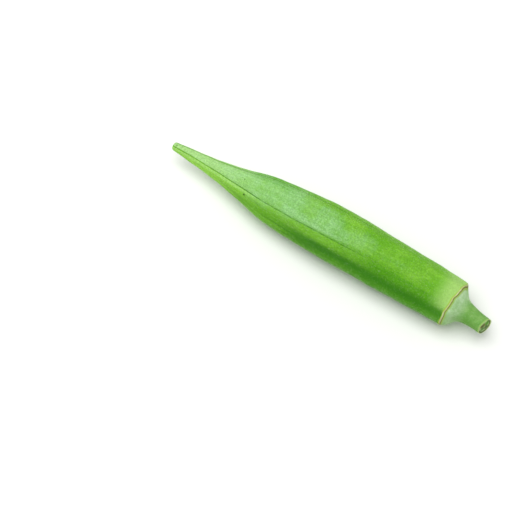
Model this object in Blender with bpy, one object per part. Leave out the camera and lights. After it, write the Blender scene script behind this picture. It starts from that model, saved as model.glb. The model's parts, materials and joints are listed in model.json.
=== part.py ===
"""One okra pod, picked and lying on its side.

The pod is a single grown solid: a five-ridged capsule that runs out into a slim beak,
the raised scar where the calyx was shed, the cap behind it and a short cut stalk.
It lies along X with the beak at -X and the stalk at +X. It rests on the flat top of its
lowest ridge. The origin is at the middle of its footprint, on the surface below it.
"""

import math

import bmesh
import bpy
from mathutils import Matrix, Vector

MM = 0.001

# Along the pod, in mm from the end of the beak: ridge radius (middle of the pod to the top
# of a ridge), height of the middle above the surface, place of the middle across the pod,
# and how many degrees the two upper ridges are turned about it.
STATIONS = (
    (0.0, 1.50, 8.42, 0.08, 0.5),
    (8.0, 2.38, 8.50, 0.12, 2.0),
    (16.0, 3.20, 8.57, 0.02, 4.0),
    (24.0, 4.55, 8.65, 0.00, 4.8),
    (30.0, 5.75, 8.75, 0.02, 4.2),
    (36.0, 7.35, 8.80, 0.05, 3.3),
    (40.0, 8.30, 8.85, 0.05, 3.0),
    (46.0, 8.90, 8.90, 0.05, 3.2),
    (54.0, 9.50, 9.20, 0.05, 3.4),
    (64.0, 10.05, 9.75, 0.00, 3.0),
    (76.0, 10.05, 9.75, -0.10, 0.8),
    (90.0, 9.75, 9.45, -0.30, -2.8),
    (104.0, 9.40, 9.10, -0.45, -4.5),
    (114.0, 9.00, 8.70, -0.50, -5.0),
    (117.5, 8.75, 8.55, -0.50, -5.0),
    (118.5, 8.35, 8.55, -0.55, -5.0),
    (119.4, 7.15, 8.55, -0.60, -5.0),
    (120.8, 5.30, 8.55, -0.85, -5.0),
    (122.0, 4.30, 8.50, -1.10, -5.0),
    (124.0, 3.65, 8.50, -1.40, -5.0),
    (128.0, 3.25, 8.45, -1.98, -5.0),
    (136.0, 3.10, 8.45, -3.25, -5.0),
)

# Cross section: five flat-topped ridges with flat faces between them.
RIDGES = 5
RIDGE_STEP_DEG = 360 / RIDGES
FIRST_RIDGE_DEG = 36.0          # from straight up towards -Y, which puts one ridge at the bottom
FACE_TO_RIDGE = 0.967           # distance of a face from the middle, as a share of a ridge's
CORNER_SHARPNESS = 40.0         # higher is sharper between a ridge and a face
TURN_CENTRE_DEG = 25.0          # the turn of the ridges is full here and nil on the far side
ROUND_FROM, ROUND_TO = 117.5, 122.0     # the cap goes from five-sided to round between these

# Seam along the top of each ridge, where a dry pod splits.
SEAM_DEPTH = 0.25
SEAM_FULL_FROM = 7.0
SEAM_FADES_FROM, SEAM_GONE_AT = 98.0, 113.0

# Angles of the points in each fifth, from the middle of its ridge.
OFFSETS_DEG = (-36.0, -28.0, -20.0, -15.0, -8.0, -2.6, 0.0, 2.6, 8.0, 15.0, 20.0, 28.0)

# End of the beak.
BEAK_ROUNDING = 0.8
BEAK_END_SHARE = 0.66
BEAK_DIMPLE = 0.2

# Scar of the shed calyx: distances along the pod from its middle line, and heights.
SCAR_AT = 117.5
SCAR_PROFILE = ((-2.4, 0.0), (-1.2, 0.0), (-0.7, 0.12), (-0.3, 0.32), (0.1, 0.30), (0.5, 0.0))
SCAR_LEAN = 1.1                 # the scar's line runs this much nearer the stalk on its far side
SCAR_LEAN_DEG = -65.0
# and it wavers: degrees round the pod from straight up towards -Y, and how far towards the stalk
SCAR_WAVE = (
    (-180.0, -0.20), (-140.0, 0.10), (-100.0, -0.10), (-70.0, 0.15), (-40.0, 0.35), (-18.0, -0.15),
    (10.0, -0.15), (20.0, -0.40), (30.0, -0.15), (45.0, -0.05), (57.0, -0.25), (70.0, 0.10),
    (85.0, 0.25), (110.0, 0.35), (140.0, 0.00), (180.0, -0.20),
)
SCAR_HOLD = 1.0                 # the lean stays whole this far either side of the scar
SCAR_EASE = 3.5                 # and then fades over this distance

# Rows of points, in mm from the end of the beak.
BEAK_ROWS = (0.0, 0.35, 1.0, 2.2, 4.0, 7.0, 10.0, 13.5, 17.0)
BODY_ROW_GAP = 3.6
LAST_BODY_ROW = 112.5
CAP_ROWS = (1.1, 1.7, 2.3, 2.9, 3.6, 4.5, 6.2, 8.6, 11.4, 17.0)   # past the scar

# Knife cut through the stalk.
CUT_AT = 131.2
CUT_TURN_DEG = 19.0             # towards the side that lies at -Y
CUT_TIP_DEG = 12.0              # and upwards
CUT_RIM = 0.45
PITH_EDGE = 0.35                # width of the slope from the rim down to the pith
PITH_SUNK = 0.4

SHARP_EDGE_DEG = 40.0

SKIN, SCAR, CAP, CUT = range(4)


def station_curve(x, column):
    """Value of one station column at x, on a smooth curve through the stations."""
    xs = [row[0] for row in STATIONS]
    ys = [row[column] for row in STATIONS]
    last = len(xs) - 1

    def slope(i):
        before, after = max(i - 1, 0), min(i + 1, last)
        return (ys[after] - ys[before]) / (xs[after] - xs[before])

    i = 0
    while i < last - 1 and x > xs[i + 1]:
        i += 1
    span = xs[i + 1] - xs[i]
    t = (x - xs[i]) / span
    return (
        (2 * t ** 3 - 3 * t ** 2 + 1) * ys[i]
        + (t ** 3 - 2 * t ** 2 + t) * span * slope(i)
        + (3 * t ** 2 - 2 * t ** 3) * ys[i + 1]
        + (t ** 3 - t ** 2) * span * slope(i + 1)
    )


def ramp(x, start, end):
    """0 before start, 1 after end, straight between them."""
    return min(max((x - start) / (end - start), 0.0), 1.0)


def section_radius(angle):
    """Distance to the five-ridged outline whose ridge tops are at 1, with soft corners."""
    total = 0.0
    for k in range(RIDGES):
        ridge = math.radians(FIRST_RIDGE_DEG + k * RIDGE_STEP_DEG)
        face = ridge + math.radians(RIDGE_STEP_DEG / 2)
        total += max(math.cos(angle - ridge), 0.0) ** CORNER_SHARPNESS
        total += max(math.cos(angle - face) / FACE_TO_RIDGE, 0.0) ** CORNER_SHARPNESS
    return total ** (-1 / CORNER_SHARPNESS)


def seam_depth(x):
    fade_in = ramp(x, 0.0, SEAM_FULL_FROM)
    fade_out = 1.0 - ramp(x, SEAM_FADES_FROM, SEAM_GONE_AT)
    return SEAM_DEPTH * fade_in * fade_out


def scar_wave(angle):
    """How far the scar's line wavers towards the stalk, read between the points of SCAR_WAVE."""
    around = (math.degrees(angle) + 180.0) % 360.0 - 180.0
    for (start, low), (end, high) in zip(SCAR_WAVE, SCAR_WAVE[1:]):
        if around <= end:
            return low + (high - low) * (around - start) / (end - start)
    return SCAR_WAVE[-1][1]


def scar_shift(offset, angle):
    """How far a row near the scar is moved along the pod at an angle round it."""
    hold = 1.0 - ramp(abs(offset), SCAR_HOLD, SCAR_HOLD + SCAR_EASE)
    lean = SCAR_LEAN * math.cos(angle - math.radians(SCAR_LEAN_DEG))
    return hold * (lean + scar_wave(angle))


def beak_rounding(x):
    if x >= BEAK_ROUNDING:
        return 1.0
    arc = math.sqrt(1.0 - (1.0 - x / BEAK_ROUNDING) ** 2)
    return BEAK_END_SHARE + (1.0 - BEAK_END_SHARE) * arc


def skin_point(row, k, offset_deg, raised):
    """A point of the skin, in metres: a row, ridge k, degrees from its middle, height."""
    angle = math.radians(FIRST_RIDGE_DEG + k * RIDGE_STEP_DEG + offset_deg)
    x = row + scar_shift(row - SCAR_AT, angle)
    roundness = ramp(x, ROUND_FROM, ROUND_TO)
    shape = section_radius(angle) * (1.0 - roundness) + roundness
    radius = station_curve(x, 1) * shape * beak_rounding(x) + raised
    if offset_deg == 0.0:
        radius -= seam_depth(x)
    side = 0.5 + 0.5 * math.cos(angle - math.radians(TURN_CENTRE_DEG))
    turned = angle + math.radians(station_curve(x, 4)) * side
    height = station_curve(x, 2) + radius * math.cos(turned)
    across = station_curve(x, 3) - radius * math.sin(turned)
    return Vector((x * MM, across * MM, max(height, 0.0) * MM))


def row_list():
    """Every row of points along the pod, each with how far it is raised."""
    rows = [(x, 0.0) for x in BEAK_ROWS]
    count = round((LAST_BODY_ROW - BEAK_ROWS[-1]) / BODY_ROW_GAP)
    gap = (LAST_BODY_ROW - BEAK_ROWS[-1]) / count
    rows += [(BEAK_ROWS[-1] + gap * (i + 1), 0.0) for i in range(count)]
    rows += [(SCAR_AT + offset, raised) for offset, raised in SCAR_PROFILE]
    rows += [(SCAR_AT + offset, 0.0) for offset in CAP_ROWS]
    return rows


def place_row(loop, row, raised):
    """Move a loop of points onto the skin at one row."""
    spots = [(k, offset) for k in range(RIDGES) for offset in OFFSETS_DEG]
    for vert, (k, offset) in zip(loop, spots):
        vert.co = skin_point(row, k, offset, raised)


def part_of_pod(row):
    """Material of the band of skin that ends at a row."""
    if row > SCAR_AT + SCAR_PROFILE[-1][0] + 0.01:
        return CAP
    if row > SCAR_AT + SCAR_PROFILE[1][0] + 0.01:
        return SCAR
    return SKIN


def extrude_skin(bm):
    """Start from a circle at the end of the beak and extrude it row by row to the stalk."""
    around = RIDGES * len(OFFSETS_DEG)
    loop = bmesh.ops.create_circle(bm, cap_ends=True, segments=around, radius=MM)["verts"]
    rows = row_list()
    place_row(loop, *rows[0])
    beak_end = bm.faces[:]
    for row, raised in rows[1:]:
        edges = [bm.edges.get((loop[i - 1], loop[i])) for i in range(around)]
        grown = bmesh.ops.extrude_edge_only(bm, edges=edges)["geom"]
        fresh = {v for v in grown if isinstance(v, bmesh.types.BMVert)}
        loop = [next(e.other_vert(v) for e in v.link_edges if e.other_vert(v) in fresh)
                for v in loop]
        place_row(loop, row, raised)
        for face in grown:
            if isinstance(face, bmesh.types.BMFace):
                face.material_index = part_of_pod(row)
    return beak_end


def dimple_beak(bm, beak_end):
    middle = bmesh.ops.poke(bm, faces=beak_end)["verts"]
    for vert in middle:
        vert.co.x = BEAK_DIMPLE * MM


def cut_stalk(bm):
    """Slice the stalk off at a slant and sink the pith inside its rim."""
    turn = Matrix.Rotation(math.radians(-CUT_TURN_DEG), 3, "Z")
    tip = Matrix.Rotation(math.radians(-CUT_TIP_DEG), 3, "Y")
    normal = turn @ tip @ Vector((1.0, 0.0, 0.0))
    middle = Vector((CUT_AT, station_curve(CUT_AT, 3), station_curve(CUT_AT, 2))) * MM
    everything = bm.verts[:] + bm.edges[:] + bm.faces[:]
    cut = bmesh.ops.bisect_plane(
        bm, geom=everything, dist=0.001 * MM, plane_co=middle, plane_no=normal, clear_outer=True
    )
    rim = [e for e in cut["geom_cut"] if isinstance(e, bmesh.types.BMEdge)]
    face = bmesh.ops.contextual_create(bm, geom=rim)["faces"]
    face[0].normal_update()
    if face[0].normal.dot(normal) < 0:
        face[0].normal_flip()
    face[0].material_index = CUT
    bmesh.ops.inset_individual(bm, faces=face, thickness=CUT_RIM * MM, depth=0.0)
    bmesh.ops.inset_individual(bm, faces=face, thickness=PITH_EDGE * MM, depth=-PITH_SUNK * MM)


def centre_on_footprint(bm):
    xs = [v.co.x for v in bm.verts]
    ys = [v.co.y for v in bm.verts]
    shift = Vector((-(min(xs) + max(xs)) / 2, -(min(ys) + max(ys)) / 2, 0.0))
    bmesh.ops.translate(bm, verts=bm.verts[:], vec=shift)


def skin_material(name, colour, roughness):
    material = bpy.data.materials.new(name)
    material.use_nodes = True
    shader = material.node_tree.nodes["Principled BSDF"]
    shader.inputs["Base Color"].default_value = (*colour, 1.0)
    shader.inputs["Roughness"].default_value = roughness
    shader.inputs["Metallic"].default_value = 0.0
    material.diffuse_color = (*colour, 1.0)
    return material


def okra_pod():
    bm = bmesh.new()
    beak_end = extrude_skin(bm)
    dimple_beak(bm, beak_end)
    cut_stalk(bm)
    centre_on_footprint(bm)
    bmesh.ops.recalc_face_normals(bm, faces=bm.faces[:])
    bmesh.ops.triangulate(bm, faces=bm.faces[:])
    mesh = bpy.data.meshes.new("okra_pod")
    bm.to_mesh(mesh)
    bm.free()
    mesh.materials.append(skin_material("pod_green", (0.14, 0.42, 0.05), 0.45))
    mesh.materials.append(skin_material("scar_tan", (0.62, 0.55, 0.30), 0.8))
    mesh.materials.append(skin_material("cap_grey_green", (0.26, 0.48, 0.17), 0.55))
    mesh.materials.append(skin_material("cut_pith", (0.45, 0.52, 0.25), 0.7))
    mesh.shade_smooth()
    mesh.set_sharp_from_angle(angle=math.radians(SHARP_EDGE_DEG))
    pod = bpy.data.objects.new("okra_pod", mesh)
    bpy.context.scene.collection.objects.link(pod)
    return pod


def main():
    for thing in list(bpy.data.objects):
        bpy.data.objects.remove(thing, do_unlink=True)
    okra_pod()


main()
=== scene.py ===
# %% [markdown]
# # An okra pod, from a fixed frame to a finished picture
# An okra pod is a fruit that grows as one piece: a five-ridged capsule with a slim beak, the
# corky scar that the shed calyx left, a waxy cap and a short stalk cut with a knife. The packed
# model gives its real size and place. This lesson wraps a fine skin round that model, colours
# it from what okra skin is made of, with some painted light and shade, and grows the short hairs
# that every okra pod carries.

import json
import math

import bmesh
import bpy
import numpy as np
from mathutils import Matrix, Vector
from mathutils.bvhtree import BVHTree

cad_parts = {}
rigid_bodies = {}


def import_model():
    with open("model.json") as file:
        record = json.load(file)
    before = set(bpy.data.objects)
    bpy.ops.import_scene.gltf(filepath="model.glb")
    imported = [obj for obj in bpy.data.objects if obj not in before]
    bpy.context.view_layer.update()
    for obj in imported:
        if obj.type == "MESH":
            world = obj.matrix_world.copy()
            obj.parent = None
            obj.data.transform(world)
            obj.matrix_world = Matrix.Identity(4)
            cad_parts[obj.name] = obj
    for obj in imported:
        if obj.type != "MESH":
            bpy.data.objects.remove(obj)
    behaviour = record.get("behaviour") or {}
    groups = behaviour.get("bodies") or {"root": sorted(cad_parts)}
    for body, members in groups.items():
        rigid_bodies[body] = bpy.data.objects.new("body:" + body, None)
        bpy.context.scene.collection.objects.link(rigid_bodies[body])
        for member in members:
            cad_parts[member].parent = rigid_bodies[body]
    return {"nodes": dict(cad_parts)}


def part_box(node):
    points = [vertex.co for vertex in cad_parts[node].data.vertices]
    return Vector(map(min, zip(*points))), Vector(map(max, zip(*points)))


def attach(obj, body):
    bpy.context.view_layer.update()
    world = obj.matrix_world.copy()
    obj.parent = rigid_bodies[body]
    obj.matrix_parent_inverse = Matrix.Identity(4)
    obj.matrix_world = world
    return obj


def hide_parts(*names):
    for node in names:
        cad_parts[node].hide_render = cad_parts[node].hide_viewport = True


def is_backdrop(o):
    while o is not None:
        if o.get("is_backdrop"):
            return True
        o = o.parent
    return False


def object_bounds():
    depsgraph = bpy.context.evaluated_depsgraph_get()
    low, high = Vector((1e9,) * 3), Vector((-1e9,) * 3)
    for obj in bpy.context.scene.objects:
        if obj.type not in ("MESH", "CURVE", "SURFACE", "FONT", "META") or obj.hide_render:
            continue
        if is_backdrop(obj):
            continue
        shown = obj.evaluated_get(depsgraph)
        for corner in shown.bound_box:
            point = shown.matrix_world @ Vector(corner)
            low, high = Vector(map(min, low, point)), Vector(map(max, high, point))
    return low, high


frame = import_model()
cad_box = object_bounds()

MM = 0.001
solid = frame["nodes"]["okra_pod"]
pod_low, pod_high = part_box("okra_pod")
print("pod of the frame, mm:", [round(v / MM, 1) for v in pod_high - pod_low])

# %% [markdown]
# ## Measure the frame
# Every size below is read off the frame's own pod, so the new skin fits it. A tree of its faces
# answers one question: where does a ray meet the pod? Rays from both sides and from above and
# below give the middle of the pod and its mean half width at any distance along it.

# %% Rays that measure the pod
solid_tree = BVHTree.FromPolygons(
    [v.co.copy() for v in solid.data.vertices],
    [tuple(p.vertices) for p in solid.data.polygons],
)
FAR = 0.1


def along(mm):
    """World x at a distance in mm from the end of the beak."""
    return pod_low.x + mm * MM


def middle_at(x):
    """Middle of the pod in the plane x, and its mean half width there."""
    y, z = 0.0, 0.0
    for _ in range(4):
        top = solid_tree.ray_cast(Vector((x, y, FAR)), Vector((0, 0, -1)))[0].z
        bottom = solid_tree.ray_cast(Vector((x, y, -FAR)), Vector((0, 0, 1)))[0].z
        z = (top + bottom) / 2
        near = solid_tree.ray_cast(Vector((x, -FAR, z)), Vector((0, 1, 0)))[0].y
        far = solid_tree.ray_cast(Vector((x, FAR, z)), Vector((0, -1, 0)))[0].y
        y = (near + far) / 2
    return Vector((x, y, z)), (top - bottom + far - near) / 4


for spot in (2, 30, 66, 110, 126):
    centre, half = middle_at(along(spot))
    print(f"{spot} mm from the beak: half width {half / MM:.2f} mm, {centre.z / MM:.2f} mm up")

# %% [markdown]
# The stalk was cut with a knife, a little on the slant. The frame's largest faces near its end
# give the slope of that cut and its middle.

# %% The plane of the knife cut
CUT_ZONE = 3.5 * MM
FACES_END = 0.9                 # faces turned at least this much along +X belong to the cut
cut_faces = [p for p in solid.data.polygons
             if p.center.x > pod_high.x - CUT_ZONE and p.normal.x > FACES_END]
cut_area = sum(p.area for p in cut_faces)
cut_normal = sum((p.normal * p.area for p in cut_faces), Vector()).normalized()
rim_points = [solid.data.vertices[i].co for p in cut_faces for i in p.vertices]
cut_reach = max(p.dot(cut_normal) for p in rim_points)
cut_middle = sum((p.center * p.area for p in cut_faces), Vector()) / cut_area
cut_middle += cut_normal * (cut_reach - cut_middle.dot(cut_normal))
cut_lean = math.degrees(cut_normal.angle((1, 0, 0)))
print(len(cut_faces), "faces make the cut, which leans", round(cut_lean, 1), "degrees from square")

# %% [markdown]
# ## The camera
# The photograph looks down on the pod with a long lens. In it the pod runs down to the right,
# its stalk a little nearer the camera than its beak, and it is seen from a quarter turn short of
# straight above. Those three angles, a distance and one point of the pod at its place in the
# picture fix the camera, so it comes first and everything else is judged through it.

# %% Place the camera
PHOTO_SIDE_PX = 515
AIM_PX = (341.0, 238.5)         # where the aim point shows in the photograph
AIM_FROM_BEAK = 70.8            # mm
AIM_UP = 9.0                    # mm
POD_SLOPE_DEG = 29.45           # the pod's line in the picture, down to the right
STALK_NEARER_DEG = 10.0
SEEN_FROM_SIDE_DEG = 23.4       # from straight above towards the near side
LENS_MM = 150.0
SENSOR_MM = 36.0
CAMERA_DISTANCE = 0.771

tilt, side, slope = (math.radians(a) for a in (STALK_NEARER_DEG, SEEN_FROM_SIDE_DEG, POD_SLOPE_DEG))
back = Vector((math.sin(tilt), -math.cos(tilt) * math.sin(side), math.cos(tilt) * math.cos(side)))
pod_line = (Vector((1, 0, 0)) - back * back.x).normalized()
right = math.cos(slope) * pod_line + math.sin(slope) * back.cross(pod_line)
up = back.cross(right)
metres_per_px = CAMERA_DISTANCE * SENSOR_MM / LENS_MM / PHOTO_SIDE_PX
aim = Vector((along(AIM_FROM_BEAK), 0, AIM_UP * MM))
sideways = (AIM_PX[0] - PHOTO_SIDE_PX / 2) * metres_per_px
upwards = (PHOTO_SIDE_PX / 2 - AIM_PX[1]) * metres_per_px

camera_data = bpy.data.cameras.new("camera")
camera_data.lens = LENS_MM
camera_data.sensor_width = SENSOR_MM
camera_data.clip_start, camera_data.clip_end = 0.01, 20.0
camera = bpy.data.objects.new("camera", camera_data)
bpy.context.scene.collection.objects.link(camera)
camera_place = aim + back * CAMERA_DISTANCE - right * sideways - up * upwards
turned = Matrix((right, up, back)).transposed()
camera.matrix_world = Matrix.Translation(camera_place) @ turned.to_4x4()
bpy.context.scene.camera = camera
print("camera looks down at", round(math.degrees(math.asin(back.z)), 1), "degrees")

# %% [markdown]
# ## Helpers for modelling by hand
# Operators act on what is selected, and loading the frame leaves its pod selected. These three
# keep that honest: one clears every selection, one picks points of the mesh in edit mode by
# their numbers, and one applies a modifier.

# %% Selecting and applying


def deselect_all():
    """Leave edit mode and select nothing."""
    if bpy.context.object and bpy.context.object.mode != "OBJECT":
        bpy.ops.object.mode_set(mode="OBJECT")
    for thing in bpy.context.view_layer.objects:
        thing.select_set(False)


def pick(piece, chosen):
    """Select exactly the points with these numbers in a piece that is in edit mode."""
    mesh = bmesh.from_edit_mesh(piece.data)
    mesh.verts.ensure_lookup_table()
    for face in mesh.faces:
        face.select = False
    for edge in mesh.edges:
        edge.select = False
    for vert in mesh.verts:
        vert.select = False
    for i in chosen:
        mesh.verts[i].select = True
    mesh.select_flush_mode()
    bmesh.update_edit_mesh(piece.data)


def apply_modifier(piece, kind, **settings):
    """Add a modifier with its settings to the active piece and apply it."""
    modifier = piece.modifiers.new(kind.lower(), kind)
    for key, value in settings.items():
        setattr(modifier, key, value)
    bpy.ops.object.modifier_apply(modifier=modifier.name)


print("selected after the load:", [thing.name for thing in bpy.context.selected_objects])

# %% [markdown]
# ## The skin, from beak to stalk
# The skin starts as an open cylinder laid along the pod. It could be pushed into shape freely,
# but a real pod's swelling is smooth and even, so it is done ring by ring: the cylinder is
# subdivided into rings, each ring is moved to its place along the pod, scaled to the width that
# the rays measured there, and leaned where the calyx scar runs aslant.

# %% Rings along the pod
COLUMNS = 60                    # an even number in each of the five ridges' shares
SCAR_MM = 117.5                 # the scar's middle line, from the end of the beak
SCAR_LEAN_MM = 1.1              # it runs this much nearer the stalk on the side away from -Y
SCAR_LEAN_DEG = -65.0           # from straight up towards -Y
BEAK_RINGS = (0.12, 0.5, 1.0, 1.8, 3.0, 4.6, 6.6, 9.0, 11.6, 14.4, 17.3)
BODY_GAP_MM = 2.85
BODY_END_MM = 111.4
SCAR_RINGS = (-3.6, -2.2, -1.3, -0.85, -0.55, -0.3, -0.05, 0.2, 0.5, 0.9)   # from its middle
CAP_RINGS = (1.4, 2.0, 2.7, 3.5, 4.5, 5.9, 7.6, 9.6, 11.4)
HOLD_MM, EASE_MM = 1.0, 3.5     # the lean is whole this near the scar, then fades over this far

body_count = round((BODY_END_MM - BEAK_RINGS[-1]) / BODY_GAP_MM)
body_rings = np.linspace(BEAK_RINGS[-1], BODY_END_MM, body_count + 1)[1:]
ring_mm = list(BEAK_RINGS) + list(body_rings)
ring_mm += [SCAR_MM + offset for offset in SCAR_RINGS + CAP_RINGS]
print(len(ring_mm), "rings")

deselect_all()
skin_length = (ring_mm[-1] - ring_mm[0]) * MM
bpy.ops.mesh.primitive_cylinder_add(
    vertices=COLUMNS, radius=pod_high.y, depth=skin_length, end_fill_type="NOTHING",
    location=(0, 0, 0), rotation=(0, math.pi / 2, 0))
skin = bpy.context.object
skin.name = "pod_skin"
bpy.ops.object.transform_apply(location=True, rotation=True, scale=True)
bpy.ops.object.mode_set(mode="EDIT")
bpy.ops.mesh.select_mode(type="EDGE")
bpy.ops.mesh.select_all(action="DESELECT")
sheet = bmesh.from_edit_mesh(skin.data)
for edge in sheet.edges:
    edge.select_set(abs(edge.verts[0].co.x - edge.verts[1].co.x) > skin_length / 2)
bmesh.update_edit_mesh(skin.data)
bpy.ops.mesh.subdivide(number_cuts=len(ring_mm) - 2)
bpy.ops.mesh.select_mode(type="VERT")

# %% [markdown]
# A column of points must run down either side of each seam, and none along it yet, so the
# cylinder is turned by half a column. Then each point's ring and column are noted: its angle is
# counted from straight up towards -Y.

# %% Number the rings and columns
COLUMN_DEG = 360 / COLUMNS
bpy.ops.mesh.select_all(action="SELECT")
bpy.ops.transform.rotate(value=math.radians(COLUMN_DEG / 2), orient_axis="X", center_override=(0, 0, 0))
sheet = bmesh.from_edit_mesh(skin.data)
sheet.verts.ensure_lookup_table()
grid = [[None] * COLUMNS for _ in ring_mm]
for vert in sheet.verts:
    ring = round((vert.co.x + skin_length / 2) / skin_length * (len(ring_mm) - 1))
    angle = math.degrees(math.atan2(-vert.co.y, vert.co.z)) % 360
    grid[ring][round((angle - COLUMN_DEG / 2) / COLUMN_DEG) % COLUMNS] = vert.index
print("points unplaced:", sum(i is None for row in grid for i in row))

# %% Move, scale and lean each ring
start_x = [-skin_length / 2 + skin_length * i / (len(ring_mm) - 1) for i in range(len(ring_mm))]
lean_angle = math.radians(SCAR_LEAN_DEG)
for row, x_now, mm in zip(grid, start_x, ring_mm):
    centre, half = middle_at(along(mm))
    pick(skin, row)
    share = half / pod_high.y
    bpy.ops.transform.resize(value=(1, share, share), center_override=(x_now, 0, 0))
    bpy.ops.transform.translate(value=(centre.x - x_now, centre.y, centre.z))
    offset = abs(mm - SCAR_MM)
    lean = SCAR_LEAN_MM * MM / half * min(max(1 - (offset - HOLD_MM) / EASE_MM, 0), 1)
    if lean > 0:
        bpy.ops.transform.rotate(value=-lean * math.sin(lean_angle), orient_axis="Z", center_override=centre)
        bpy.ops.transform.rotate(value=-lean * math.cos(lean_angle), orient_axis="Y", center_override=centre)
xs = [v.co.x for v in bmesh.from_edit_mesh(skin.data).verts]
print("skin runs from", round(min(xs) / MM, 1), "to", round(max(xs) / MM, 1))

# %% [markdown]
# The ridges aren't quite straight: seen from the front they sway a few degrees towards the near
# side in the middle, and back again near the beak and the stalk. Each ridge takes its own twelve
# columns with it. The scar's line wavers a little too, so the points of the rings near it are
# moved along with it.

# %% Sway the ridges and let the scar waver
RIDGES = 5
RIDGE_STEP_DEG = 360 / RIDGES
FIRST_RIDGE_DEG = 36.0          # which leaves one ridge at the bottom, where the pod lies
SWAY_DEG = (                    # mm from the beak, degrees
    (0, -2.0), (8, -3.2), (12, -2.8), (16, -1.0), (20, 0.4), (24, 2.2), (30, 3.4), (36, 3.3), (54, 3.4),
    (64, 3.0), (76, 0.8), (90, -2.8), (104, -4.5), (114, -5.0), (136, -5.0))
SWAY_FRONT_DEG = 25.0           # the sway is whole here and nil on the far side
SCAR_WAVE = (                   # degrees round the pod, and mm towards the stalk
    (-180, -0.2), (-140, 0.1), (-100, -0.1), (-70, 0.15), (-40, 0.35), (-18, -0.15), (10, -0.15),
    (20, -0.4), (30, -0.15), (45, -0.05), (57, -0.25), (70, 0.1), (85, 0.25), (110, 0.35),
    (140, 0.0), (180, -0.2))


def sway(mm, around_deg):
    """Degrees that a place on the pod has swayed from a straight ridge's line."""
    share = 0.5 + 0.5 * np.cos(np.radians(around_deg - SWAY_FRONT_DEG))
    return np.interp(mm, *zip(*SWAY_DEG)) * share


def near_scar(mm):
    """1 at the scar and close to it, then falling to 0."""
    return np.clip(1 - (np.abs(mm - SCAR_MM) - HOLD_MM) / EASE_MM, 0, 1)


def scar_wave(around_deg):
    """How far in mm the scar's line wavers towards the stalk."""
    return np.interp((around_deg + 180) % 360 - 180, *zip(*SCAR_WAVE))


columns_each = COLUMNS // RIDGES
for row, mm in zip(grid, ring_mm):
    centre, half = middle_at(along(mm))
    for k in range(RIDGES):
        ridge_deg = FIRST_RIDGE_DEG + k * RIDGE_STEP_DEG
        pick(skin, row[k * columns_each:(k + 1) * columns_each])
        bpy.ops.transform.rotate(
            value=-math.radians(sway(mm, ridge_deg)), orient_axis="X", center_override=centre)
    if near_scar(mm) > 0:
        for column, i in enumerate(row):
            wave = float(scar_wave((column + 0.5) * COLUMN_DEG))
            pick(skin, [i])
            bpy.ops.transform.translate(value=(wave * near_scar(mm) * MM, 0, 0))
print("sway at the widest place:", round(float(sway(64, FIRST_RIDGE_DEG)), 1), "degrees")

# %% [markdown]
# A Shrinkwrap modifier now lays every point on the frame's pod. Scaling each ring first matters:
# points that start close to the surface are moved straight in or out and stay evenly spaced.

# %% Wrap the skin onto the frame's pod
bpy.ops.object.mode_set(mode="OBJECT")
before = [v.co.copy() for v in skin.data.vertices]
apply_modifier(skin, "SHRINKWRAP", target=solid, wrap_method="NEAREST_SURFACEPOINT")
moved = [(v.co - old).length / MM for v, old in zip(skin.data.vertices, before)]
print("points moved by", round(sum(moved) / len(moved), 2), "mm on average, at most", round(max(moved), 2))

# %% [markdown]
# ## Seams
# A ripe, dry okra pod splits along five seams, one down the middle of each ridge, and on a fresh
# pod they already show as fine dark grooves. The strip of faces along each ridge's middle is
# subdivided once, and the new line of points is sunk into the flesh and creased.

# %% Groove each ridge
SEAM_MM = (                     # from, to in mm from the beak, and depth
    (1.5, 5.0, 0.05), (5.0, 9.0, 0.07), (9.0, 30.0, 0.09), (30.0, 96.0, 0.12), (96.0, 102.0, 0.09),
    (102.0, 107.0, 0.06), (107.0, 113.0, 0.03))
SEAM_CREASE = 0.6               # 1 would keep the groove as sharp as a fold
bpy.ops.object.mode_set(mode="EDIT")
bpy.ops.mesh.select_mode(type="EDGE")
bpy.ops.mesh.select_all(action="DESELECT")
half_share = columns_each // 2
ridge_pairs = {(row[k * columns_each + half_share - 1], row[k * columns_each + half_share])
               for row in grid for k in range(RIDGES)}
sheet = bmesh.from_edit_mesh(skin.data)
for edge in sheet.edges:
    ends = tuple(v.index for v in edge.verts)
    edge.select_set(ends in ridge_pairs or ends[::-1] in ridge_pairs)
bmesh.update_edit_mesh(skin.data)
wall_points = len(sheet.verts)
bpy.ops.mesh.subdivide(number_cuts=1)
bpy.ops.mesh.select_mode(type="VERT")
sheet = bmesh.from_edit_mesh(skin.data)
sheet.verts.ensure_lookup_table()
seam_points = {i: sheet.verts[i].co.x for i in range(wall_points, len(sheet.verts))}
for start, end, depth in SEAM_MM:
    zone = [i for i, x in seam_points.items() if along(start) <= x < along(end)]
    pick(skin, zone)
    bpy.ops.transform.shrink_fatten(value=-depth * MM)
pick(skin, [i for i, x in seam_points.items() if along(SEAM_MM[0][0]) <= x < along(SEAM_MM[-1][1])])
bpy.ops.transform.edge_crease(value=SEAM_CREASE)
print(len(seam_points), "points along the seams")

# %% [markdown]
# ## The two ends
# The beak ends bluntly in a tiny dimple, where the flower's style was. Its open edge is extruded
# and scaled inwards three times and merged in the middle, which closes the mesh in a small fan.

# %% Close the beak
BEAK_STEPS = ((-0.08, 0.82), (-0.02, 0.68), (0.10, 0.5))      # forward in mm, then scale


def pick_open_edge(piece, low, high):
    """Select the open edge of a piece that lies between two world x."""
    bpy.ops.mesh.select_mode(type="EDGE")
    bpy.ops.mesh.select_all(action="DESELECT")
    mesh = bmesh.from_edit_mesh(piece.data)
    points = set()
    for edge in mesh.edges:
        if edge.is_boundary and low < edge.verts[0].co.x < high:
            edge.select_set(True)
            points.update(edge.verts)
    bmesh.update_edit_mesh(piece.data)
    return sum((v.co for v in points), Vector()) / len(points)


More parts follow.
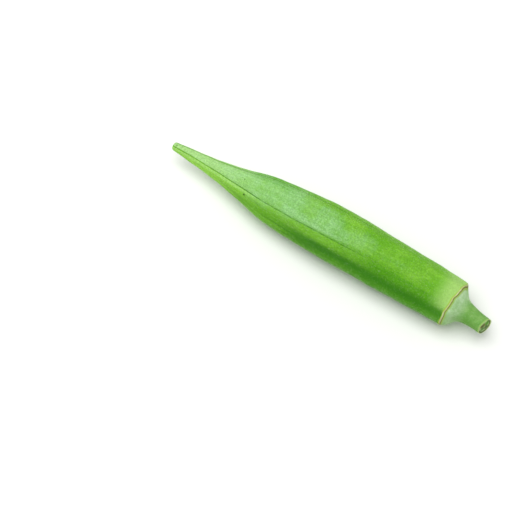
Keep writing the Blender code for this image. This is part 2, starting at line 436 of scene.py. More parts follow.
beak_middle = pick_open_edge(skin, -1, 0)
for forward, scale in BEAK_STEPS:
    bpy.ops.mesh.extrude_region_move(TRANSFORM_OT_translate={"value": (forward * MM, 0, 0)})
    beak_middle.x += forward * MM
    bpy.ops.transform.resize(value=(1, scale, scale), center_override=beak_middle)
bpy.ops.mesh.select_mode(type="VERT")
bpy.ops.mesh.merge(type="CENTER")
print("beak closed at", round((beak_middle.x - pod_low.x) / MM, 2), "mm")

# %% [markdown]
# The stalk is grown past its end and then cut off with a bisect in the plane that was measured,
# just as the knife did. The fill is inset in steps: the skin's rim, the sunken ring of tough
# fibres, and the soft pith that stands up a little in the middle. A knife tears such fibres, so
# the points of the cut are nudged about at random.

# %% Cut the stalk
PAST_CUT_MM = 5.0
CUT_STEPS = ((0.22, 0.0), (0.16, -0.12), (0.38, -0.22), (0.30, 0.02), (0.45, 0.10))   # in, up
CUT_CREASE = 0.55
stalk_end = pick_open_edge(skin, 0, 1)
stalk_line = (stalk_end - middle_at(along(SCAR_MM + CAP_RINGS[-2]))[0]).normalized()
bpy.ops.mesh.extrude_region_move(TRANSFORM_OT_translate={"value": stalk_line * PAST_CUT_MM * MM})
bpy.ops.mesh.select_all(action="SELECT")
bpy.ops.mesh.bisect(plane_co=cut_middle, plane_no=cut_normal, clear_outer=True, use_fill=True)
bpy.ops.mesh.select_mode(type="FACE")
bpy.ops.mesh.select_all(action="DESELECT")
sheet = bmesh.from_edit_mesh(skin.data)
sheet.faces.ensure_lookup_table()
cut_fill = max(sheet.faces, key=lambda f: len(f.verts))
if cut_fill.normal.dot(cut_normal) < 0:
    cut_fill.normal_flip()
cut_fill.select_set(True)
sheet.faces.active = cut_fill
bmesh.update_edit_mesh(skin.data)
bpy.ops.mesh.region_to_loop()
bpy.ops.transform.edge_crease(value=CUT_CREASE)
bpy.ops.mesh.select_mode(type="FACE")
bpy.ops.mesh.select_all(action="DESELECT")
sheet = bmesh.from_edit_mesh(skin.data)
max(sheet.faces, key=lambda f: len(f.verts)).select_set(True)
bmesh.update_edit_mesh(skin.data)
for inwards, upwards_mm in CUT_STEPS:
    bpy.ops.mesh.inset(thickness=inwards * MM, depth=upwards_mm * MM)
bpy.ops.mesh.poke()
print("cut face steps:", len(CUT_STEPS))

# %% Tear the cut a little
CUT_TEAR_MM = 0.09
CUT_DEPTH_MM = 0.6              # no point of the cut face lies deeper than this
FACES_CUT = 0.3                 # faces turned at least this much the cut's way belong to it
sheet = bmesh.from_edit_mesh(skin.data)
sheet.verts.ensure_lookup_table()
inside_cut = [v.index for v in sheet.verts
              if (v.co - cut_middle).dot(cut_normal) > -CUT_DEPTH_MM * MM
              and v.co.x > cut_middle.x - CUT_ZONE
              and all(f.normal.dot(cut_normal) > FACES_CUT for f in v.link_faces)]
bpy.ops.mesh.select_mode(type="VERT")
pick(skin, inside_cut)
bpy.ops.transform.vertex_random(offset=CUT_TEAR_MM * MM, uniform=1.0, normal=0.0, seed=7)
print(len(inside_cut), "points of the cut nudged")

# %% [markdown]
# ## Which faces are what
# One skin covers the whole pod, but it has four surfaces: the fresh green skin, the corky scar,
# the waxy cap with its stalk, and the cut flesh. Each gets its own material slot, and faces are
# given to a slot by where they lie. How far a point lies from the scar's line is a small sum,
# because the scar leans and wavers, so a function holds it for the materials' use later.

# %% Material slots by place
SCAR_BAND_MM = (-0.60, 0.55)    # from the scar's line


def from_scar(x, around_deg):
    """Distance in mm along the pod from the scar's line, past it towards the stalk."""
    mm = (x - pod_low.x) / MM
    lean = SCAR_LEAN_MM * np.cos(np.radians(around_deg - SCAR_LEAN_DEG))
    shift = lean + scar_wave(around_deg)
    return mm - SCAR_MM - near_scar(mm - shift) * shift


middles = [middle_at(along(mm))[0] for mm in ring_mm]
middle_x = [m.x for m in middles]
middle_y = [m.y for m in middles]
middle_z = [m.z for m in middles]


def round_the_pod(xyz):
    """Degrees round the pod from straight up towards -Y, with the ridges' sway taken out."""
    across = xyz[:, 1] - np.interp(xyz[:, 0], middle_x, middle_y)
    height = xyz[:, 2] - np.interp(xyz[:, 0], middle_x, middle_z)
    seen = np.degrees(np.arctan2(-across, height))
    mm = (xyz[:, 0] - pod_low.x) / MM
    return seen - sway(mm, seen - sway(mm, seen)), np.hypot(across, height) / MM


bpy.ops.object.mode_set(mode="OBJECT")
skin.data.materials.clear()
for name in ("fresh_okra_skin", "corky_calyx_scar", "waxy_cap_skin", "knife_cut_flesh"):
    skin.data.materials.append(bpy.data.materials.new(name))
GREEN, SCAR, CAP, CUT = range(4)
face_middles = np.array([p.center for p in skin.data.polygons])
past_scar = from_scar(face_middles[:, 0], round_the_pod(face_middles)[0])
in_cut = set(inside_cut)
for face, past in zip(skin.data.polygons, past_scar):
    in_fill = all(i in in_cut or i >= wall_points for i in face.vertices)
    if in_fill and any(i in in_cut for i in face.vertices):
        face.material_index = CUT
    elif past > SCAR_BAND_MM[1]:
        face.material_index = CAP
    elif past > SCAR_BAND_MM[0]:
        face.material_index = SCAR
    else:
        face.material_index = GREEN
print("faces of each slot:", np.bincount([p.material_index for p in skin.data.polygons]).tolist())

# %% [markdown]
# ## Round it off
# Subdivision Surface makes the skin fine and round. No grown thing is quite even, so a Displace
# modifier then swells and sinks it by a fifth of a millimetre in soft lumps. The points that
# come out at or under the surface it lies on are pressed flat against it.

# %% Subdivide, swell and press flat
LUMP_MM = 9.0
LUMP_HEIGHT_MM = 0.45
TOUCH_MM = 0.03
apply_modifier(skin, "SUBSURF", levels=2, render_levels=2)
lumps = bpy.data.textures.new("soft lumps", "CLOUDS")
lumps.noise_scale = LUMP_MM * MM
lumps.noise_depth = 1
apply_modifier(skin, "DISPLACE", texture=lumps, strength=LUMP_HEIGHT_MM * MM, mid_level=0.5)
bpy.ops.object.mode_set(mode="EDIT")
bpy.ops.mesh.select_mode(type="VERT")
pick(skin, [v.index for v in bmesh.from_edit_mesh(skin.data).verts if v.co.z < TOUCH_MM * MM])
bpy.ops.transform.resize(value=(1, 1, 0), center_override=(0, 0, 0))
bpy.ops.mesh.select_all(action="SELECT")
bpy.ops.mesh.normals_make_consistent(inside=False)
bpy.ops.object.mode_set(mode="OBJECT")
bpy.ops.object.shade_smooth()
print("skin faces:", len(skin.data.polygons))

# %% [markdown]
# ## A straightened pod for the patterns
# Okra skin's pattern follows its growth: streaks run along the ridges and bend with them. So each
# point stores where it would be on a straight, round pod of 9 mm radius, in millimetres, and
# textures read that place. Two more numbers are stored: the distance past the nearest seam and
# past the scar, each with its sign. The waxy bloom lies in patches that handling has rubbed, and
# it thins out just past the near seam. A list of patches is laid over one another as a soft mask:
# place along the pod, place round it, half length, half width and strength.

# %% Store what the materials read
STRAIGHT_RADIUS_MM = 9.0
BLOOM_PATCHES = (               # mm from the beak, degrees round, half length, half width, strength
    (28, 2, 18, 52, 1.0), (41, 4, 9, 42, 1.05), (50, 0, 12, 44, 0.9), (62, 6, 11, 30, 0.85),
    (77, 12, 8, 24, 0.68), (32, 28, 12, 14, 1.1), (54, 29, 22, 9, 1.0), (94, 16, 12, 12, 0.2),
    (50, -60, 20, 12, 0.3), (60, 180, 24, 30, 0.7), (92, 160, 14, 24, 0.5), (28, 120, 12, 18, 0.5),
    (95, -120, 20, 20, 0.5), (40, -140, 14, 22, 0.6))
PATCH_REACH = 1.4               # a patch is whole to 0.4 of its half size and gone at 1.4 of it
BLOOM_END_MM, BLOOM_FADE_MM = 4.6, 3.6      # past the near seam, and over how far it thins out there
BLOOM_BACK_DEG, BACK_FADE_DEG = 95, 15      # where it starts again round the pod, and over how far


def store(name, values, kind="FLOAT"):
    """Store one number, or one vector, for each point of the skin."""
    layer = skin.data.attributes.new(name, kind, "POINT")
    layer.data.foreach_set("value" if kind == "FLOAT" else "vector", np.ravel(values).astype(np.float32))


points = np.empty(len(skin.data.vertices) * 3, dtype=np.float32)
skin.data.vertices.foreach_get("co", points)
points = points.reshape(-1, 3).astype(float)
along_mm = (points[:, 0] - pod_low.x) / MM
around, reach_mm = round_the_pod(points)
turn = np.radians(around)
store("straight", np.column_stack(
    (along_mm, STRAIGHT_RADIUS_MM * np.sin(turn), STRAIGHT_RADIUS_MM * np.cos(turn))), "FLOAT_VECTOR")
off_ridge = (around - FIRST_RIDGE_DEG + RIDGE_STEP_DEG / 2) % RIDGE_STEP_DEG - RIDGE_STEP_DEG / 2
store("seam_mm", np.radians(off_ridge) * reach_mm)
store("scar_mm", from_scar(points[:, 0], around))
bloom = np.zeros(len(points))
for patch_mm, patch_deg, half_length, half_width, strength in BLOOM_PATCHES:
    round_gap = (around - patch_deg + 180) % 360 - 180
    gone = np.hypot((along_mm - patch_mm) / half_length, round_gap / half_width)
    bloom = np.maximum(bloom, strength * np.clip(PATCH_REACH - gone, 0, 1))
past_near_seam = np.radians((around - FIRST_RIDGE_DEG + 180) % 360 - 180) * reach_mm
thinned = np.clip((BLOOM_END_MM - past_near_seam) / BLOOM_FADE_MM, 0, 1)
thinned += np.clip((around % 360 - BLOOM_BACK_DEG) / BACK_FADE_DEG, 0, 1)
bloom *= np.clip(thinned, 0, 1)
store("bloom", bloom)
print("bloom covers", round(float((bloom > 0.3).mean()) * 100), "% of the skin")

# %% [markdown]
# ## Helpers for materials
# Screen colours are written as sRGB hex values, but a shader counts in linear light, so one
# function turns them. Another adds a node, sets it up and links its inputs in a single call. A
# plant's surface is many thin layers of colour over one another, so a third lays on one such
# layer, as a painter would: a colour, and the masks that say where it goes.

# %% Colour and nodes


def colour(hex_value):
    """An sRGB hex colour as linear red, green, blue and alpha."""
    parts = [int(hex_value[i:i + 2], 16) / 255 for i in (1, 3, 5)]
    return [p / 12.92 if p <= 0.04045 else ((p + 0.055) / 1.055) ** 2.4 for p in parts] + [1.0]


def add(tree, kind, inputs=None, **settings):
    """Add a node. Its inputs are given by name or number, as a value or a socket to link."""
    node = tree.nodes.new(kind)
    for key, value in settings.items():
        setattr(node, key, value)
    for key, value in (inputs or {}).items():
        if isinstance(value, bpy.types.NodeSocket):
            tree.links.new(value, node.inputs[key])
        else:
            node.inputs[key].default_value = value
    return node


def paint(tree, base, over, *masks):
    """Lay the colour over the base, as strongly as all its masks allow together.

    A mask is a socket, the two values between which it changes, and its strength at each.
    """
    amount = 1.0
    for read, from_value, to_value, from_strength, to_strength in masks:
        mask = add(tree, "ShaderNodeMapRange", {
            "Value": read, "From Min": from_value, "From Max": to_value,
            "To Min": from_strength, "To Max": to_strength}, interpolation_type="SMOOTHSTEP")
        both = add(tree, "ShaderNodeMath", {0: mask.outputs[0], 1: amount}, operation="MULTIPLY")
        amount = both.outputs[0]
    over = over if isinstance(over, bpy.types.NodeSocket) else colour(over)
    return add(tree, "ShaderNodeMix", {0: amount, 6: base, 7: over}, data_type="RGBA").outputs[2]


def start(material):
    """Clear a material and return its tree, with a Principled shader wired to the output."""
    material.use_nodes = True
    tree = material.node_tree
    tree.nodes.clear()
    shader = add(tree, "ShaderNodeBsdfPrincipled")
    add(tree, "ShaderNodeOutputMaterial", {"Surface": shader.outputs[0]})
    return tree, shader


print("a fresh green in linear light:", [round(part, 3) for part in colour("#6EB326")[:3]])

# %% [markdown]
# ## Fresh okra skin
# A plant's skin is wet green tissue under a thin, dull layer of wax. Light goes a little way in
# and comes back green, which subsurface scattering gives, and the wax is so dull that it mirrors
# almost nothing: an IOR of 1.42, a low specular level and a roughness over a half. Its greens run
# from yellow-green at the beak and at the scar to a deep green on the sides of the ridges, partly
# the skin's own green and partly painted shade, with painted light in a few places. Its patterns
# read either the real place of a point or its place on the straightened pod, which is taken apart
# here into mm from the beak, mm towards the near side and mm up.

# %% Skin: where the patterns come from
tree, shader = start(bpy.data.materials["fresh_okra_skin"])
here = add(tree, "ShaderNodeTexCoord").outputs["Object"]
straight = add(tree, "ShaderNodeAttribute", attribute_name="straight").outputs["Vector"]
seam_signed = add(tree, "ShaderNodeAttribute", attribute_name="seam_mm").outputs["Fac"]
seam_mm = add(tree, "ShaderNodeMath", {0: seam_signed}, operation="ABSOLUTE").outputs[0]
scar_mm = add(tree, "ShaderNodeAttribute", attribute_name="scar_mm").outputs["Fac"]
bloom_mask = add(tree, "ShaderNodeAttribute", attribute_name="bloom").outputs["Fac"]
from_beak, nearer, higher = add(tree, "ShaderNodeSeparateXYZ", {0: straight}).outputs
side_mm = add(tree, "ShaderNodeMath", {0: nearer}, operation="ABSOLUTE").outputs[0]
lengthwise = add(tree, "ShaderNodeVectorMath", {
    0: straight, 1: (0.06, 1, 1)}, operation="MULTIPLY").outputs[0]
crosswise = add(tree, "ShaderNodeVectorMath", {
    0: straight, 1: (1, 0.35, 0.35)}, operation="MULTIPLY").outputs[0]
print("what the skin reads:", len(tree.nodes), "nodes")

# %% [markdown]
# Mottles are some 9 mm across, bands 3 mm, streaks, veins and wrinkles 1 to 2 mm. The grain of
# single cells and hair bases, really 0.1 to 0.2 mm, is drawn at 0.5 mm so that it still shows.

# %% Skin: mottling, streaks and grain
MOTTLE_MM, BAND_MM, WRINKLE_MM, VEIN_MM, STREAK_MM = 9.0, 3.0, 1.6, 1.3, 1.1
GRAIN_MM, DOT_MM = 0.5, 1.0
mottle = add(tree, "ShaderNodeTexNoise", {
    "Vector": straight, "Scale": 1 / MOTTLE_MM, "Detail": 4.0, "Roughness": 0.6}).outputs["Fac"]
streak = add(tree, "ShaderNodeTexNoise", {
    "Vector": lengthwise, "Scale": 1 / STREAK_MM, "Detail": 3.0, "Roughness": 0.6}).outputs["Fac"]
band = add(tree, "ShaderNodeTexNoise", {
    "Vector": lengthwise, "Scale": 1 / BAND_MM, "Detail": 2.0}).outputs["Fac"]
vein = add(tree, "ShaderNodeTexNoise", {
    "Vector": lengthwise, "Scale": 1 / VEIN_MM, "Detail": 1.0}).outputs["Fac"]
wrinkle = add(tree, "ShaderNodeTexNoise", {
    "Vector": crosswise, "Scale": 1 / WRINKLE_MM, "Detail": 3.0, "Roughness": 0.65}).outputs["Fac"]
grain = add(tree, "ShaderNodeTexNoise", {
    "Vector": here, "Scale": 1 / (GRAIN_MM * MM), "Detail": 2.0, "Roughness": 0.7}).outputs["Fac"]
dots = add(tree, "ShaderNodeTexVoronoi", {
    "Vector": here, "Scale": 1 / (DOT_MM * MM)}).outputs["Distance"]
print("with its patterns:", len(tree.nodes), "nodes")

# %% [markdown]
# Each green goes over the one before: streaks; deeper sides, partly their own green and partly
# painted shade; painted shade on the near side by the scar, along the lower sides and on the
# underside; painted light on the lower flank near the beak; veins, laid on the near lower side
# partly as painted shade; painted light on the far edge and on a strip under the near seam; and
# the paler neck before the scar, on its upper side only. The band noise lets the edge of the
# deepest painted shade waver.

# %% Skin: greens
# The painted shade along the lower side has an edge that wavers with the band noise.
SHADE_WAVER_MM = 2.4
painted_shade_edge = add(tree, "ShaderNodeMath", {
    0: band, 1: SHADE_WAVER_MM, 2: higher}, operation="MULTIPLY_ADD").outputs[0]
base = paint(tree, colour("#6EB326"), "#84C33A", (mottle, 0.36, 0.66, 0, 1))
base = paint(tree, base, "#4C9614", (streak, 0.40, 0.72, 0, 0.35))
# Deeper green on the sides: partly the pod's own colour, partly painted shade.
base = paint(tree, base, "#66AE18", (side_mm, 3.0, 6.5, 0, 0.5))
# Painted shade on the near lower side close to the scar.
base = paint(tree, base, "#4A9408", (nearer, 5.0, 5.8, 0, 0.55), (from_beak, 76, 90, 0, 1))
# Painted shade: the deepest green along the lower sides, strongest on the near side.
base = paint(tree, base, "#2E7A00", (painted_shade_edge, 8.6, 3.9, 0, 0.86), (from_beak, 40, 64, 0, 1),
             (higher, 3.0, -0.5, 1, 0.4), (nearer, -3, 3, 0.45, 1))
# Painted shade: darker towards the underside.
base = paint(tree, base, "#3A8004", (higher, -2.0, -5.0, 0, 0.4), (from_beak, 16, 34, 0, 1))
# Painted light on the lower flank near the beak.
base = paint(tree, base, "#80C43C", (higher, 3.6, 1.4, 0, 0.6), (from_beak, 52, 38, 0, 1))
# Veins on the near lower side, which there also serve as painted shade.
base = paint(tree, base, "#2A6E06", (vein, 0.50, 0.57, 0, 0.42), (from_beak, 92, 62, 0.3, 1),
             (nearer, 5.4, 7.2, 0.1, 1))
# Painted light along the far edge.
base = paint(tree, base, "#9CD060", (nearer, -4.8, -7.2, 0, 0.4), (higher, -1, 4, 0, 1),
             (from_beak, 52, 64, 0, 1))
# Painted light on a strip under the near seam.
base = paint(tree, base, "#88C640", (seam_signed, 0.0, 0.5, 0, 0.5), (seam_signed, 4.4, 2.2, 0, 1),
             (higher, 2.5, 4.5, 0, 1), (nearer, 3.0, 4.5, 0, 1), (from_beak, 90, 66, 0, 1),
             (from_beak, 36, 54, 0.7, 1))
base = paint(tree, base, "#AED67A", (scar_mm, -9.0, -1.5, 0, 0.76), (higher, 3.5, 7.0, 0.05, 1))
print("with its greens:", len(tree.nodes), "nodes")

# %% [markdown]
# The bloom is a film of pale wax, thick in some streaks and thin in others. It is rubbed off a
# strip of the far side, where a deeper green shows. The young tissue of the beak is paler still.

# %% Skin: bloom and beak
uneven = add(tree, "ShaderNodeMath", {0: mottle, 1: wrinkle}, operation="ADD").outputs[0]
uneven = add(tree, "ShaderNodeMath", {0: uneven, 1: band}, operation="ADD").outputs[0]
patchy = add(tree, "ShaderNodeMath", {
    0: uneven, 1: -0.75, 2: bloom_mask}, operation="MULTIPLY_ADD").outputs[0]
base = paint(tree, base, "#A0D48E", (patchy, -1.05, 0.05, 0, 0.98), (bloom_mask, 0.0, 0.25, 0, 1),
             (streak, 0.35, 0.7, 1, 0.6), (mottle, 0.42, 0.6, 1, 0.68))
base = paint(tree, base, "#52A42E", (nearer, -1.8, -4.6, 0, 0.5), (from_beak, 30, 37, 0, 1),
             (from_beak, 52, 43, 0, 1), (streak, 0.35, 0.62, 0.45, 1), (higher, 0, 4, 0, 1))
beak_green = paint(tree, colour("#B8E296"), "#A8E45C", (nearer, 5.0, 5.6, 0, 1))
base = paint(tree, base, beak_green, (from_beak, 42, 6, 0, 0.92), (streak, 0.35, 0.7, 0.75, 1))
print("with its bloom:", len(tree.nodes), "nodes")

# %% [markdown]
# The seams are drawn as thin dark lines whose width wavers, and they fade out short of the scar.
# Near the beak a painted highlight runs as a pale band under the near seam. A few small dark
# specks are bruises and insect marks. Each has its real place on the pod's surface, which a ray
# towards the pod's middle finds.

# %% Skin: seams, specks and grain
SPECKS = (                      # mm from the beak, degrees round, radius in mm, strength
    (33.0, 51, 0.60, 1.0), (30.4, 4, 0.50, 0.5), (1.5, 8, 0.45, 0.6), (3.6, -12, 0.35, 0.35),
    (57.0, 62, 0.30, 0.5), (88.0, -20, 0.25, 0.45), (74.0, 175, 0.40, 0.7), (41.0, -120, 0.35, 0.6))
# Painted highlight: a pale band under the near seam near the beak.
base = paint(tree, base, "#A8DC76", (seam_signed, 0.12, 0.4, 0, 1), (seam_signed, 1.5, 0.9, 0, 1),
             (nearer, 3.0, 4.5, 0, 1), (from_beak, 46, 28, 0, 0.75))
SEAM_WAVER_MM, SEAM_BREAK_MM = 0.30, 3.0
waver = add(tree, "ShaderNodeMath", {
    0: streak, 1: SEAM_WAVER_MM, 2: seam_mm}, operation="MULTIPLY_ADD").outputs[0]
breaks = add(tree, "ShaderNodeTexNoise", {
    "Vector": straight, "Scale": 1 / SEAM_BREAK_MM, "Detail": 2.0}).outputs["Fac"]
unbroken = add(tree, "ShaderNodeMapRange", {
    "Value": from_beak, "From Min": 40, "From Max": 25}).outputs[0]
breaks = add(tree, "ShaderNodeMath", {0: breaks, 1: unbroken}, operation="ADD").outputs[0]
seam_green = paint(tree, colour("#417C18"), "#5E9E10", (from_beak, 40, 14, 0, 1))
base = paint(tree, base, seam_green, (waver, 0.42, 0.22, 0, 1), (from_beak, 100, 66, 0, 0.9),
             (breaks, 0.32, 0.6, 0.35, 1))
for mm, degrees, radius, strength in SPECKS:
    turned_to = math.radians(degrees + float(sway(mm, degrees)))
    outwards = Vector((0, -math.sin(turned_to), math.cos(turned_to)))
    speck_at = solid_tree.ray_cast(middle_at(along(mm))[0] + outwards * FAR, -outwards)[0]
    gap = add(tree, "ShaderNodeVectorMath", {
        0: here, 1: speck_at}, operation="DISTANCE").outputs["Value"]
    base = paint(tree, base, "#3A5A18", (gap, radius * MM, radius * MM / 3, 0, strength))
base = paint(tree, base, "#26620A", (grain, 0.32, 0.68, 0.46, 0), (from_beak, 44, 60, 0.76, 1),
             (scar_mm, -12, -5, 1, 0.5))
base = paint(tree, base, "#D4EEC0", (dots, 0.30, 0.10, 0, 0.10))
print("with its seams and", len(SPECKS), "specks:", len(tree.nodes), "nodes")

# %% [markdown]
# Streaks, wrinkles and grain also make a relief of less than a tenth of a millimetre, too fine
# for the mesh, so it is a bump. The wax is a little smoother on the grains that stand up.

# %% Skin: relief and finish
SKIN_RELIEF_MM = 0.09
relief = add(tree, "ShaderNodeMath", {
    0: streak, 1: 0.9, 2: grain}, operation="MULTIPLY_ADD").outputs[0]
relief = add(tree, "ShaderNodeMath", {
    0: wrinkle, 1: 0.8, 2: relief}, operation="MULTIPLY_ADD").outputs[0]
bump = add(tree, "ShaderNodeBump", {"Height": relief, "Distance": SKIN_RELIEF_MM * MM, "Strength": 1.0})
dullness = add(tree, "ShaderNodeMapRange", {
    "Value": grain, "From Min": 0.3, "From Max": 0.7, "To Min": 0.68, "To Max": 0.54})
tree.links.new(base, shader.inputs["Base Color"])
tree.links.new(dullness.outputs[0], shader.inputs["Roughness"])
tree.links.new(bump.outputs[0], shader.inputs["Normal"])
for socket, value in {
        "IOR": 1.42, "Specular IOR Level": 0.12, "Subsurface Weight": 0.12,
        "Subsurface Radius": (0.5, 1.0, 0.2), "Subsurface Scale": 1.2 * MM}.items():
    shader.inputs[socket].default_value = value
print("skin nodes:", len(tree.nodes))

# %% [markdown]
# ## Corky scar
# Where the calyx dropped off, the plant sealed the wound with cork: dead, air-filled cells that
# are dry, matt and the colour of straw. The crest is cream, and a thin brown line runs behind it.
# Towards the underside the cork is darkened with painted shade.

# %% Scar material
CRUMBLE_MM, STAIN_MM, WANDER_MM = 0.7, 3.5, 0.45
tree, shader = start(bpy.data.materials["corky_calyx_scar"])
straight = add(tree, "ShaderNodeAttribute", attribute_name="straight").outputs["Vector"]
scar_mm = add(tree, "ShaderNodeAttribute", attribute_name="scar_mm").outputs["Fac"]
crumble = add(tree, "ShaderNodeTexNoise", {
    "Vector": straight, "Scale": 1 / CRUMBLE_MM, "Detail": 4.0, "Roughness": 0.7}).outputs["Fac"]
stain = add(tree, "ShaderNodeTexNoise", {
    "Vector": straight, "Scale": 1 / STAIN_MM, "Detail": 2.0}).outputs["Fac"]
wander = add(tree, "ShaderNodeMath", {
    0: crumble, 1: WANDER_MM, 2: scar_mm}, operation="MULTIPLY_ADD").outputs[0]
higher = add(tree, "ShaderNodeSeparateXYZ", {0: straight}).outputs[2]
cork = paint(tree, colour("#CEDCA4"), "#AEBA78", (stain, 0.40, 0.60, 0, 1))
# Painted shade: the cork darker towards the underside.
cork = paint(tree, cork, "#8C9060", (higher, 5.5, 1.0, 0, 0.6))
cork = paint(tree, cork, "#98B83C", (wander, -0.02, -0.14, 0, 1))
cork = paint(tree, cork, "#66562A", (wander, 0.34, 0.42, 0, 0.95))
cork = paint(tree, cork, "#98B850", (wander, 0.55, 0.63, 0, 1))
bump = add(tree, "ShaderNodeBump", {"Height": crumble, "Distance": 0.12 * MM})
tree.links.new(cork, shader.inputs["Base Color"])
tree.links.new(bump.outputs[0], shader.inputs["Normal"])
shader.inputs["Roughness"].default_value = 0.85
shader.inputs["IOR"].default_value = 1.4
shader.inputs["Specular IOR Level"].default_value = 0.2
print("scar nodes:", len(tree.nodes))

# %% [markdown]
# ## Cap and stalk
# Behind the scar the tissue never sat in the sun: it is greyer and paler, softly mottled and finely
# dotted, and turns to a plain deeper green along the stalk, where its fibres run lengthwise. It is
# darkened with painted shade towards its underside. The knife has pressed a pale lip at the very
# end, so two more numbers are stored: how far a point lies behind the plane of the cut, and how
# far inside the cut's rim. The rim is an oval. The rim's reach is taken in many directions, and a
# point's distance from it is the least room it has left.

# %% Distances from the knife cut
from_cut = points - np.array(cut_middle)
before_cut = -(from_cut @ np.array(cut_normal))
store("end_mm", before_cut / MM)
cut_up = (Vector((0, 0, 1)) - cut_normal * cut_normal.z).normalized()
cut_side = cut_normal.cross(cut_up)
rim_mm = np.full(len(points), np.inf)
reaches = []
for turned_to in np.linspace(0, 2 * math.pi, 48, endpoint=False):
    outwards = cut_up * math.cos(turned_to) + cut_side * math.sin(turned_to)
    reaches.append(max((p - cut_middle).dot(outwards) for p in rim_points) / MM)
    rim_mm = np.minimum(rim_mm, reaches[-1] - from_cut @ np.array(outwards) / MM)
store("rim_mm", rim_mm)
print("half widths of the stalk's cut:", round(min(reaches), 1), "to", round(max(reaches), 1), "mm")

# %% Cap material
CAP_MOTTLE_MM, CAP_FIBRE_MM, CAP_DOT_MM = 3.0, 1.2, 0.9
tree, shader = start(bpy.data.materials["waxy_cap_skin"])
here = add(tree, "ShaderNodeTexCoord").outputs["Object"]
straight = add(tree, "ShaderNodeAttribute", attribute_name="straight").outputs["Vector"]
scar_mm = add(tree, "ShaderNodeAttribute", attribute_name="scar_mm").outputs["Fac"]
end_mm = add(tree, "ShaderNodeAttribute", attribute_name="end_mm").outputs["Fac"]
higher = add(tree, "ShaderNodeSeparateXYZ", {0: straight}).outputs[2]
lengthwise = add(tree, "ShaderNodeVectorMath", {
    0: straight, 1: (0.25, 1, 1)}, operation="MULTIPLY").outputs[0]
mottle = add(tree, "ShaderNodeTexNoise", {
    "Vector": here, "Scale": 1 / (CAP_MOTTLE_MM * MM), "Detail": 3.0, "Roughness": 0.6}).outputs["Fac"]
fibre = add(tree, "ShaderNodeTexNoise", {
    "Vector": lengthwise, "Scale": 1 / CAP_FIBRE_MM, "Detail": 2.0}).outputs["Fac"]
grain = add(tree, "ShaderNodeTexNoise", {
    "Vector": here, "Scale": 1 / (GRAIN_MM * MM), "Detail": 2.0, "Roughness": 0.7}).outputs["Fac"]
dots = add(tree, "ShaderNodeTexVoronoi", {
    "Vector": here, "Scale": 1 / (CAP_DOT_MM * MM)}).outputs["Distance"]
cap_green = paint(tree, colour("#A8D292"), "#C6E4B6", (mottle, 0.34, 0.68, 0, 1))
stalk_green = paint(tree, colour("#6AA046"), "#80AE5A", (mottle, 0.38, 0.64, 0, 1))
base = paint(tree, cap_green, stalk_green, (scar_mm, 1.5, 6.5, 0, 1))
# Painted shade: the cap darker towards its underside.
base = paint(tree, base, "#5E962A", (higher, 6.0, 2.0, 0, 0.42))
base = paint(tree, base, "#4C8A30", (fibre, 0.45, 0.75, 0, 0.35), (scar_mm, 4.0, 8.0, 0, 1))
base = paint(tree, base, "#98B850", (scar_mm, 1.15, 0.5, 0, 1))
base = paint(tree, base, "#2E6A20", (grain, 0.32, 0.68, 0.19, 0))
base = paint(tree, base, "#DCEECC", (dots, 0.30, 0.10, 0, 0.08))
base = paint(tree, base, "#A0C868", (end_mm, 0.6, 0.2, 0, 0.6))
relief = add(tree, "ShaderNodeMath", {0: mottle, 1: 0.8, 2: grain}, operation="MULTIPLY_ADD")
bump = add(tree, "ShaderNodeBump", {"Height": relief.outputs[0], "Distance": 0.06 * MM})
tree.links.new(base, shader.inputs["Base Color"])
tree.links.new(bump.outputs[0], shader.inputs["Normal"])
for socket, value in {
        "Roughness": 0.6, "IOR": 1.42, "Specular IOR Level": 0.25, "Subsurface Weight": 0.12,
        "Subsurface Radius": (0.5, 1.0, 0.3), "Subsurface Scale": 1.2 * MM}.items():
    shader.inputs[socket].default_value = value
print("cap nodes:", len(tree.nodes))

# %% [markdown]
# ## The cut
# Inside the pale lip a ring of tough fibres has dried to dark olive, and the middle is a few wet
# wells of green and brown tissue, with painted shade in their depths and pale walls between them.
# Each well is given by degrees round from straight up towards -Y, mm from the middle, radius and
# colour.
# One noise tears the edges of the wells and of the ring. It averages a half, so it adds half of
# its reach to every distance, and the wells' masks allow for that.

# %% Cut material
WELLS = (
    (-62, 1.35, 1.25, "#5A9C14"), (48, 1.15, 1.25, "#6E7226"), (125, 1.50, 1.00, "#5E8C3C"),
    (-150, 1.30, 0.95, "#3E5C14"), (0, 0.10, 0.50, "#7C8A3C"))
TEAR_MM = 0.9
WELL_TEAR_MM, RING_TEAR_MM = 2.4, -0.9
TEAR_SHIFT_MM = WELL_TEAR_MM / 2
